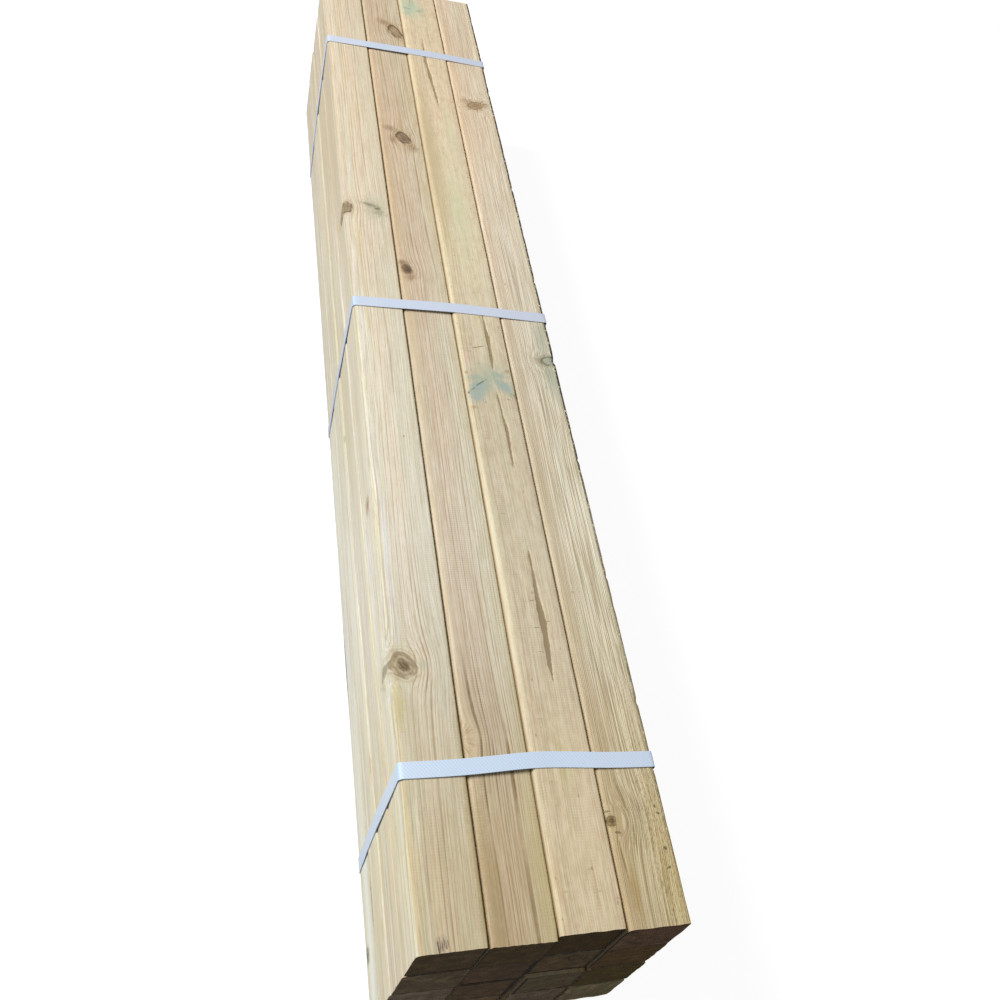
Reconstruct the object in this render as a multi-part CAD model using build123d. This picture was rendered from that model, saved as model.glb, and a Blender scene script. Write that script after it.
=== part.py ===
"""A strapped bundle of square pine studs: four to a layer, four layers, three tight straps.

The studs are sawn and regularised softwood, about 75 mm square and 1.8 m long. Each has one
well rounded arris, at its upper left as the bundle lies, and three that are only just broken.
They differ a little in height, and have slid a few millimetres, as they do in a real pack.
Each strap is pulled straight from corner to corner, so it bridges a column that is low. Its
two ends lap on the right-hand side, where they are welded together.

X runs across the bundle, Y along it with the near end at low Y, and Z up. The origin is the
middle of the base, on the surface that the bundle lies on. Sizes are in millimetres.
"""

import os

from build123d import *

# The studs
STUD_LENGTH = 1800.0
STUD_WIDTH = 72.5
STUD_HEIGHT = 75.0
ROUND_ARRIS = 6.0
BROKEN_ARRIS = 1.8
COLUMN_GAP = 0.5

# How much higher than STUD_HEIGHT the studs of each column are, from the left
COLUMN_EXTRA = (0.0, -0.4, 0.5, 0.2)

# How far each stud stands back from the near end, in layers from the top, from the left
SET_BACK = (
    (0.5, 0.0, 3.5, 1.5),
    (0.0, 1.5, 4.0, 2.5),
    (0.5, 1.0, 0.5, 1.0),
    (2.0, 4.0, 1.0, 0.5),
)

# How far each stud has slid to the right, in the same order
SIDE_SLIP = (
    (0.0, 0.0, 0.0, 0.0),
    (-0.8, -0.5, 1.5, 2.5),
    (-2.0, -2.0, 3.0, 3.2),
    (-1.2, -1.0, 2.8, 3.0),
)

# The straps
STRAP_WIDTH = 19.0
STRAP_THICKNESS = 0.9
STRAP_CLEARANCE = 0.15
LAP_LENGTH = 60.0
LAP_DROP = 95.0

# Where each strap crosses the bundle, from the near end, and how far it runs askew
STRAPS = {
    "strap_near": (187.0, -0.7),
    "strap_middle": (902.0, -1.4),
    "strap_far": (1587.5, -2.2),
}

LAYERS = len(SET_BACK)


def stud_section(height):
    """The end of one stud, with its lower left corner at the local origin."""
    outline = Rectangle(STUD_WIDTH, height, align=(Align.MIN, Align.MIN))
    left, right = outline.vertices().group_by(Axis.X)
    lower_left, upper_left = left.sort_by(Axis.Y)
    outline = fillet(upper_left, ROUND_ARRIS)
    square_corners = [
        corner
        for corner in outline.vertices()
        if corner.X > STUD_WIDTH / 2 or corner.Y < height / 2
    ]
    return fillet(square_corners, BROKEN_ARRIS)


def stud_place(layer, column):
    """Lower left corner of a stud in the bundle's section, with its height."""
    height = STUD_HEIGHT + COLUMN_EXTRA[column]
    across = column * (STUD_WIDTH + COLUMN_GAP) + SIDE_SLIP[layer][column]
    up = (LAYERS - 1 - layer) * height
    return across, up, height


def bundle_grid():
    """Every layer and column that holds a stud."""
    return [(layer, column) for layer, row in enumerate(SET_BACK) for column in range(len(row))]


def section_plane(along):
    """The plane of a cross-section, that far from the near end, facing the near end."""
    return Plane(origin=(0, along, 0), x_dir=(1, 0, 0), z_dir=(0, -1, 0))


def make_stud(layer, column):
    """One stud, extruded from its far end towards the near one."""
    across, up, height = stud_place(layer, column)
    section = Pos(across, up) * stud_section(height)
    far_end = SET_BACK[layer][column] + STUD_LENGTH
    return extrude(section_plane(far_end) * section, STUD_LENGTH)


def is_outer(layer, column):
    """Whether a stud lies on the outside of the bundle, where a strap can touch it."""
    return layer in (0, LAYERS - 1) or column in (0, len(SET_BACK[layer]) - 1)


def rounded_corner(outline, right, up, radius):
    """The outline with its furthest corner that way rounded."""
    corner = max(outline.vertices(), key=lambda vertex: right * vertex.X + up * vertex.Y)
    return fillet(corner, radius)


def tight_outline():
    """The outline that a tight strap takes: straight from stud to stud, round at the corners."""
    edges = []
    for layer, column in bundle_grid():
        if is_outer(layer, column):
            across, up, height = stud_place(layer, column)
            square_stud = Rectangle(STUD_WIDTH, height, align=(Align.MIN, Align.MIN))
            edges += (Pos(across, up) * square_stud).edges()
    outline = rounded_corner(make_hull(edges), -1, 1, ROUND_ARRIS)
    for right, up in ((1, 1), (1, -1), (-1, -1)):
        outline = rounded_corner(outline, right, up, BROKEN_ARRIS)
    return outline


def wrap(outline, inner, outer):
    """A closed band round the outline, between two distances from it."""
    far_side = offset(outline, outer, kind=Kind.INTERSECTION)
    return far_side - offset(outline, inner, kind=Kind.INTERSECTION)


def make_strap(outline, along, askew):
    """One strap, cut from a long sleeve by two askew planes, so that it lies flat on all sides."""
    outer = STRAP_CLEARANCE + STRAP_THICKNESS
    band = wrap(outline, STRAP_CLEARANCE, outer)
    box = outline.bounding_box()
    lap_middle = box.max.Y - LAP_DROP
    lap_zone = Pos(box.max.X, lap_middle) * Rectangle(STUD_WIDTH, LAP_LENGTH)
    lap = wrap(outline, outer, outer + STRAP_THICKNESS) & lap_zone
    sleeve_length = 3 * STRAP_WIDTH
    sleeve = extrude(section_plane(along + sleeve_length / 2) * (band + lap), sleeve_length)
    slab_size = 2 * max(box.size.X, box.size.Y)
    middle = Pos(box.center().X, along, box.center().Y)
    slab = middle * Rot(0, 0, askew) * Box(slab_size, STRAP_WIDTH, slab_size)
    return sleeve & slab


def main():
    pieces = {}
    for layer, column in bundle_grid():
        pieces[f"stud_layer{layer + 1}_{column + 1}"] = make_stud(layer, column)
    outline = tight_outline()
    for name, (along, askew) in STRAPS.items():
        pieces[name] = make_strap(outline, along, askew)
    box = Compound(children=[piece.solid() for piece in pieces.values()]).bounding_box()
    to_base = Pos(-box.center().X, -box.center().Y, -box.min.Z)
    os.makedirs("parts", exist_ok=True)
    for name, piece in pieces.items():
        export_step(to_base * piece.solid(), f"parts/{name}.step")
    print("whole bundle", box.size)


main()
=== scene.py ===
"""The looks of a strapped bundle of pine studs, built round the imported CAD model.

Every stud starts as a block whose long edges are eased and whose faces are cut fine enough to
be carved: worn arrises, dished knots, a groove along the pith, nicks and uneven saw cuts. Its
grain is a solid one, growth rings round the stud's own pith, so the lines on a face and the
arcs on the end belong together. Every strap is one flat band folded over the corners.

Lengths in the tables are in millimetres, across and up from a stud's axis and along from its
near end. Colours are as they look on a screen, from 0 to 255. The scene itself is in metres.
"""

import math
import random
from dataclasses import dataclass, field

import bpy
import numpy as np
from mathutils import Matrix, Vector


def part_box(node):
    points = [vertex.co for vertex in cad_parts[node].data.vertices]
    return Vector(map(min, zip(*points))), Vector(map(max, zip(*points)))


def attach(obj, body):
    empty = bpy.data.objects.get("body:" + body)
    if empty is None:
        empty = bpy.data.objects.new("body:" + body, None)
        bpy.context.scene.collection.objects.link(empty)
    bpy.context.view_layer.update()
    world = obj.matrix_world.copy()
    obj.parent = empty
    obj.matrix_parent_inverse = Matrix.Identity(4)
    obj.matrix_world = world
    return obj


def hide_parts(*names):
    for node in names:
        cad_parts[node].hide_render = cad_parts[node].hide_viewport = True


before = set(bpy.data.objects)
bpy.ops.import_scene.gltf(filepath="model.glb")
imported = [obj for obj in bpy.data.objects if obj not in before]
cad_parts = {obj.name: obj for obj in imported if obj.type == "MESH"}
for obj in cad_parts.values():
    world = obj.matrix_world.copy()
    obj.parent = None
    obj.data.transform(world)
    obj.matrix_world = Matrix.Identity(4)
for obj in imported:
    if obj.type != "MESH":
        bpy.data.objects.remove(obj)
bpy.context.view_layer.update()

MM = 0.001
STUD_WIDTH, STUD_LENGTH, STUD_HEIGHT = 72.5, 1800.0, 75.0
TOP, LEFT = STUD_HEIGHT / 2, -STUD_WIDTH / 2
ROUND_ARRIS, BROKEN_ARRIS = 6.0, 1.8
STRAP_WIDTH, STRAP_THICKNESS, STRAP_CLEARANCE = 19.0, 0.9, 0.15
LAP_LENGTH, LAP_DROP = 60.0, 95.0
ASKEW = {"strap_near": -0.7, "strap_middle": -1.4, "strap_far": -2.2}
# How far each strap bows towards the far end on top, its middle and half width across,
# and how far it lies from its solid's middle line
BOW = {"strap_near": (4.4, 8.0, 62.0, -1.2), "strap_middle": (2.4, 0.0, 75.0, -1.3),
       "strap_far": (0.6, 0.0, 90.0, 0.0)}
# The ribs embossed in the straps: how far they lean, and radians to a millimetre
RIB_SLANT, RIB_RATE = 0.8, 1.6
# Cuts in each side of a strap and across its width, and the rows pressed into the welded lap
STRAP_CUTS, LAP_ROWS, LAP_PRESS = (60, 5), 40, 0.28
SMOOTH_ANGLE = math.radians(35)
WHITE = (1, 1, 1, 1)

# The long corners of a block: right or left, up or down
CORNERS = ((-1, -1), (-1, 1), (1, -1), (1, 1))
UPPER_LEFT = (-1, 1)

# The camera, as fitted to the photograph, in metres, with its lens in millimetres
CAMERA_PLACE = (-0.3579, -1.1532, 1.3605)
CAMERA_LOOK = (0.31265, 0.57551, -0.75567)
CAMERA_UP = (-0.02257, 0.79983, 0.59980)
LENS, SENSOR, SHIFT = 38.175, 36.0, (-0.04294, -0.00289)

# The light: where the lamp hangs, what it points at, its size and its watts
KEY_PLACE, KEY_TARGET = (-2.0, 0.45, 2.1), (0, 0.1, 0.2)
KEY_SIZE, KEY_WATTS = 1.5, 106
SKY_STRENGTH, FLOOR_GLOW, FLOOR_SIZE = 0.22, 0.90, 14


@dataclass
class Knot:
    """A branch where it meets a face. Its stretch is along the grain.

    Its grip says how far out it pushes the grain aside. Its slant is a turn in degrees, and how
    much longer it is that way. A buried one only shows as a swirl.
    """

    place: tuple
    radius: float
    stretch: float = 1.1
    depth: float = 40.0
    grip: float = 1.2
    wood: tuple = (188, 162, 128)
    rim: tuple = (134, 108, 80)
    core: tuple = (100, 80, 62)
    halo: tuple = (206, 182, 142)
    slant: tuple = (0, 1.0)
    heart: float = 0.6
    edge: float = 0.5
    fan: float = 0.0
    buried: bool = False


def top(across, along, half_across, half_along, depth, turn=0, sunk=0):
    """A patch on a stud's top: its middle, its half sizes, its turn in degrees, how far down."""
    return (across, along, TOP - sunk), (half_across, half_along, depth), turn


def left(along, up, half_along, half_up, depth):
    """A patch on a stud's left side: its middle and its half sizes."""
    return (LEFT, along, up), (depth, half_along, half_up), 0


@dataclass
class Timber:
    """What one stud was cut from. Bands are across, width, colour and strength on the top.

    The table lines_across says how strong the ring lines are from left to right. The tone is
    a table of factors from the near end to the far one, partly the wood's own colour and partly
    painted shade, and the arris is a factor of painted shade that dims the rounded arris that
    faces the lamp. The gaps say how wide the painted shade of the dark seams is on the end:
    left, right, at the top and at the base.
    """

    pith: tuple
    heart: float = 80.0
    ring: float = 2.6
    drift: tuple = (0.0, 0.0)
    heartwood: tuple = (226, 212, 184)
    sapwood: tuple = (220, 212, 190)
    line_colour: tuple = (160, 138, 106)
    line: float = 0.6
    lines_across: list = None
    rough: float = 0.12
    mottle: float = 0.12
    tone: list = None
    arris: tuple = (0.97, 0.955, 0.93)
    bands: list = field(default_factory=list)
    knots: list = field(default_factory=list)
    streaks: list = field(default_factory=list)
    flecks: float = 0.0
    ticks: float = 0.0
    end_tint: tuple = (124, 106, 80)
    gaps: tuple = (1.8, 1.8, 2.4, 2.4)
    nicks: list = field(default_factory=list)
    hollows: list = field(default_factory=list)


def tones(*factors):
    """A table of factors for the wood's colour and its painted shade, at six places from the near
    end to the far one.
    """
    return list(zip((0.05, 0.16, 0.27, 0.415, 0.59, 0.77), factors))


# The pith where it breaks the face of the third stud: along, centre and half width
PITH_STREAKS = [
    [(278, 8.7, 0.0), (292, 8.5, 1.2), (304, 8.2, 2.8), (331, 9.4, 3.6), (345, 10.2, 3.3),
     (362, 10.4, 4.6), (384, 9.2, 3.6), (400, 9.0, 2.4), (412, 9.1, 2.4), (440, 9.4, 1.2),
     (455, 9.5, 1.6), (469, 9.4, 0.0)],
    [(596, 11.2, 0.0), (615, 11.6, 1.2), (640, 12.4, 1.9), (662, 12.6, 2.2), (690, 10.6, 1.3),
     (708, 9.6, 0.9), (724, 8.9, 1.1), (741, 8.2, 0.0)],
    [(776, 9.4, 0.0), (790, 10.2, 1.6), (802, 10.6, 2.5), (822, 10.8, 2.2), (842, 10.8, 3.2),
     (858, 10.2, 2.0), (884, 9.8, 0.9), (899, 9.6, 0.0)],
    [(1418, 5.2, 0.0), (1436, 4.2, 1.3), (1462, 2.6, 1.9), (1490, 0.6, 1.8), (1509, -0.4, 3.2),
     (1540, -2.6, 2.0), (1561, -3.9, 2.8), (1600, -3.2, 1.4), (1648, -1.6, 0.0)],
]

TIMBERS = {
    "stud_layer1_1": Timber(
        pith=(-62, -14), drift=(-0.15, 0.1), heart=88, ring=3.2, heartwood=(229, 216, 190),
        sapwood=(220, 212, 188), line=0.80,
        lines_across=[(-36, 0.3), (-27, 0.45), (-14, 0.8), (6, 1.0), (17, 0.5), (36, 0.4)],
        arris=(0.84, 0.83, 0.81), end_tint=(110, 91, 64), gaps=(1, 2.8, 2, 3.4),
        tone=tones((0.89, 0.85, 0.75), (0.945, 0.965, 0.99), (1.0, 1.05, 1.14),
                   (0.96, 0.995, 1.04), (0.905, 0.895, 0.905), (0.93, 0.905, 0.89)),
        bands=[(-33.0, 3.5, (236, 226, 206), 0.5), (-27.5, 1.2, (218, 202, 184), 0.5),
               (-23.0, 1.3, (234, 208, 158), 0.6), (-18.5, 0.8, (240, 224, 176), 0.6),
               (-14.5, 1.3, (228, 198, 150), 0.55), (-6.0, 3.0, (222, 210, 192), 0.35),
               (4.0, 3.5, (224, 212, 194), 0.25), (18.0, 4.0, (214, 206, 178), 0.4),
               (30.0, 5.0, (214, 203, 172), 0.4)],
        knots=[Knot((-18.5, 312, TOP), 13.0, 1.15, grip=1.4, wood=(186, 166, 134),
                    rim=(124, 102, 74), core=(100, 82, 58), halo=(214, 200, 162),
                    slant=(-49, 1.25), heart=0.60, edge=0.55),
               Knot((-30.5, 1116, TOP), 8.6, 1.3, wood=(156, 138, 108), rim=(106, 88, 62),
                    core=(150, 134, 104), halo=(210, 194, 160), slant=(77, 1.3), edge=0.9),
               Knot((LEFT, 560, 5), 6.0, 1.6, wood=(196, 172, 140), rim=(160, 130, 98),
                    core=(150, 120, 90))],
    ),
    "stud_layer1_2": Timber(
        pith=(-58, -6), drift=(0.12, 0.0), heart=80, ring=3.2, heartwood=(214, 196, 170),
        sapwood=(217, 206, 180), line=0.95, line_colour=(138, 115, 83),
        lines_across=[(-36, 0.2), (-25, 0.3), (-16, 0.8), (16, 1.0), (26, 0.6), (36, 0.4)],
        end_tint=(104, 85, 57), gaps=(2.6, 2.6, 2, 1.6),
        bands=[(-31.0, 5.0, (222, 202, 168), 0.7), (-24.2, 0.5, (158, 124, 88), 0.4),
               (-16.0, 4.5, (204, 180, 156), 0.6), (-4.0, 4.0, (214, 196, 176), 0.4),
               (8.0, 4.0, (208, 194, 170), 0.4), (18.0, 4.5, (224, 214, 188), 0.6),
               (29.0, 4.5, (214, 204, 168), 0.6)],
        knots=[Knot((-38, 222, TOP), 16, 1.3, grip=0.80, depth=60, buried=True),
               Knot((-21, 985, TOP), 7.8, 1.2, grip=1.3, wood=(136, 116, 94), rim=(92, 74, 56),
                    core=(94, 76, 58), halo=(190, 164, 130), slant=(-68, 1.35), heart=0.8),
               Knot((5, 1319, TOP), 10.8, 1.3, grip=1.4, wood=(142, 122, 102), rim=(88, 72, 54),
                    core=(132, 114, 98), halo=(200, 176, 140), slant=(-56, 1.5), edge=0.8),
               Knot((21.5, 1655, TOP), 11.6, 1.4, wood=(164, 144, 114), rim=(96, 78, 54),
                    core=(186, 166, 136), halo=(200, 176, 138), slant=(-63, 1.9), edge=0.85)],
    ),
    "stud_layer1_3": Timber(
        pith=(8.5, 39), heart=22, ring=3.4, heartwood=(220, 206, 178), sapwood=(218, 204, 176),
        line=0.6, line_colour=(176, 154, 122),
        lines_across=[(-36, 0.6), (-20, 0.9), (-6, 0.5), (20, 0.4), (36, 0.5)],
        streaks=PITH_STREAKS, flecks=0.45, ticks=0.35, arris=(0.91, 0.915, 0.92), mottle=0.26,
        end_tint=(83, 64, 32), gaps=(2.0, 4.2, 2, 4.0),
        bands=[(-32.5, 6.5, (230, 216, 183), 0.85), (-27.0, 0.9, (190, 170, 138), 0.7),
               (-24.5, 1.2, (228, 204, 176), 0.6), (-21.5, 0.7, (186, 164, 136), 0.5),
               (-14.0, 4.0, (212, 194, 172), 0.5)],
        tone=[(0.05, (1.05, 1.02, 0.94)), (0.18, (0.95, 0.95, 0.93)), (0.28, (0.91, 0.93, 0.93)),
              (0.415, (0.87, 0.88, 0.87)), (0.56, (0.97, 0.98, 0.94)), (0.77, (1.0, 0.965, 0.92))],
    ),
    "stud_layer1_4": Timber(
        pith=(-66, 4), drift=(0.1, 0.0), heart=70, ring=1.8, heartwood=(228, 211, 186),
        sapwood=(224, 212, 188), line=0.8, line_colour=(160, 136, 98),
        lines_across=[(-36, 0.3), (-22, 0.4), (-8, 0.9), (36, 1.0)], rough=1.0, flecks=0.2,
        end_tint=(136, 107, 85), gaps=(3.4, 1, 2, 2.2),
        tone=tones((0.90, 0.855, 0.70), (0.98, 0.985, 0.94), (1.05, 1.10, 1.13),
                   (0.97, 1.01, 1.05), (1.03, 1.04, 1.09), (1.06, 1.035, 1.04)),
        bands=[(-33.0, 3.0, (214, 194, 162), 0.6), (-22.0, 6.0, (204, 184, 152), 0.7),
               (-8.0, 3.0, (200, 182, 146), 0.4), (14.0, 4.0, (224, 208, 178), 0.4),
               (29.0, 7.0, (244, 231, 202), 0.75)],
        knots=[Knot((-28.5, 115, TOP), 4.8, 1.2, grip=3.0, wood=(156, 140, 106),
                    rim=(96, 80, 56), core=(110, 96, 70), halo=(214, 198, 156), heart=0.75,
                    edge=0.6),
               Knot((26.6, 806, TOP), 9.2, 1.0, grip=1.15, wood=(178, 180, 156),
                    rim=(98, 92, 70), core=(180, 182, 156), halo=(182, 176, 150),
                    slant=(20, 1.2), edge=0.8),
               Knot((2, 1441, TOP), 11.6, 1.0, grip=1.25, wood=(168, 144, 112),
                    rim=(120, 98, 72), core=(158, 132, 100), halo=(204, 178, 138),
                    slant=(38, 1.3), edge=0.5, fan=0.6)],
        nicks=[(808, 8, 3.0), (255, 7, 1.6), (430, 5, 1.4), (620, 6, 1.5), (980, 7, 2.0),
               (1210, 8, 1.8), (1490, 8, 2.0)],
    ),
    "stud_layer2_1": Timber(
        pith=(-52, 12), heart=30, ring=3.2, line=0.3, drift=(0.5, 0.2),
        heartwood=(228, 213, 192), sapwood=(224, 212, 191), end_tint=(139, 120, 95),
        gaps=(1, 1.4, 2.4, 1.8),
    ),
    "stud_layer3_1": Timber(
        pith=(-46, -18), heart=38, ring=3.4, line=0.3, drift=(-0.4, 0.3),
        heartwood=(222, 213, 188), sapwood=(234, 227, 204), end_tint=(157, 140, 121),
    ),
    "stud_layer4_1": Timber(
        pith=(-58, 4), heart=40, ring=3.0, line=0.28, drift=(0.3, -0.2),
        heartwood=(238, 233, 216), sapwood=(243, 238, 222), end_tint=(130, 114, 94),
        knots=[Knot((LEFT, 74, -25), 7.0, 1.2, wood=(168, 164, 140), rim=(112, 104, 84),
                    core=(120, 112, 92), halo=(210, 200, 172))],
    ),
    "stud_layer2_3": Timber(
        pith=(20, -52), heart=60, end_tint=(126, 106, 78), gaps=(4, 4.4, 4.8, 5),
        hollows=[(TOP, 420, 3.2)],
    ),
    "stud_layer3_3": Timber(
        pith=(44, 8), heart=40, end_tint=(131, 116, 89), gaps=(5, 2, 4, 3),
        hollows=[(TOP, 380, 2.4)],
        knots=[Knot((36, 0, 12), 15, 1.3, depth=50, core=(74, 58, 44))],
    ),
    "stud_layer4_2": Timber(pith=(-10, 48), heart=36, end_tint=(162, 136, 106)),
    "stud_layer3_2": Timber(
        pith=(-48, 30), heart=52, end_tint=(122, 99, 74), gaps=(2, 6.5, 4, 3),
    ),
    "stud_layer2_2": Timber(
        pith=(50, 20), heart=52, end_tint=(118, 95, 74), gaps=(1.2, 5, 1.6, 4.4),
    ),
    "stud_layer3_4": Timber(
        pith=(-30, 60), heart=60, end_tint=(106, 89, 48), gaps=(2.4, 1, 1.6, 1.6),
    ),
    "stud_layer2_4": Timber(
        pith=(12, -50), heart=50, end_tint=(120, 95, 61), gaps=(3.6, 1, 1.8, 1.6),
        knots=[Knot((36, 930, 6), 9.0),
               Knot((36, 300, -14), 6.0)],
    ),
    "stud_layer4_3": Timber(pith=(16, -42), heart=44, end_tint=(160, 142, 120)),
    "stud_layer4_4": Timber(
        pith=(-14, -48), heart=52, end_tint=(181, 167, 130),
        knots=[Knot((36, 620, 4), 8.0),
               Knot((36, 1380, -10), 7.0)],
    ),
}
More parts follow.
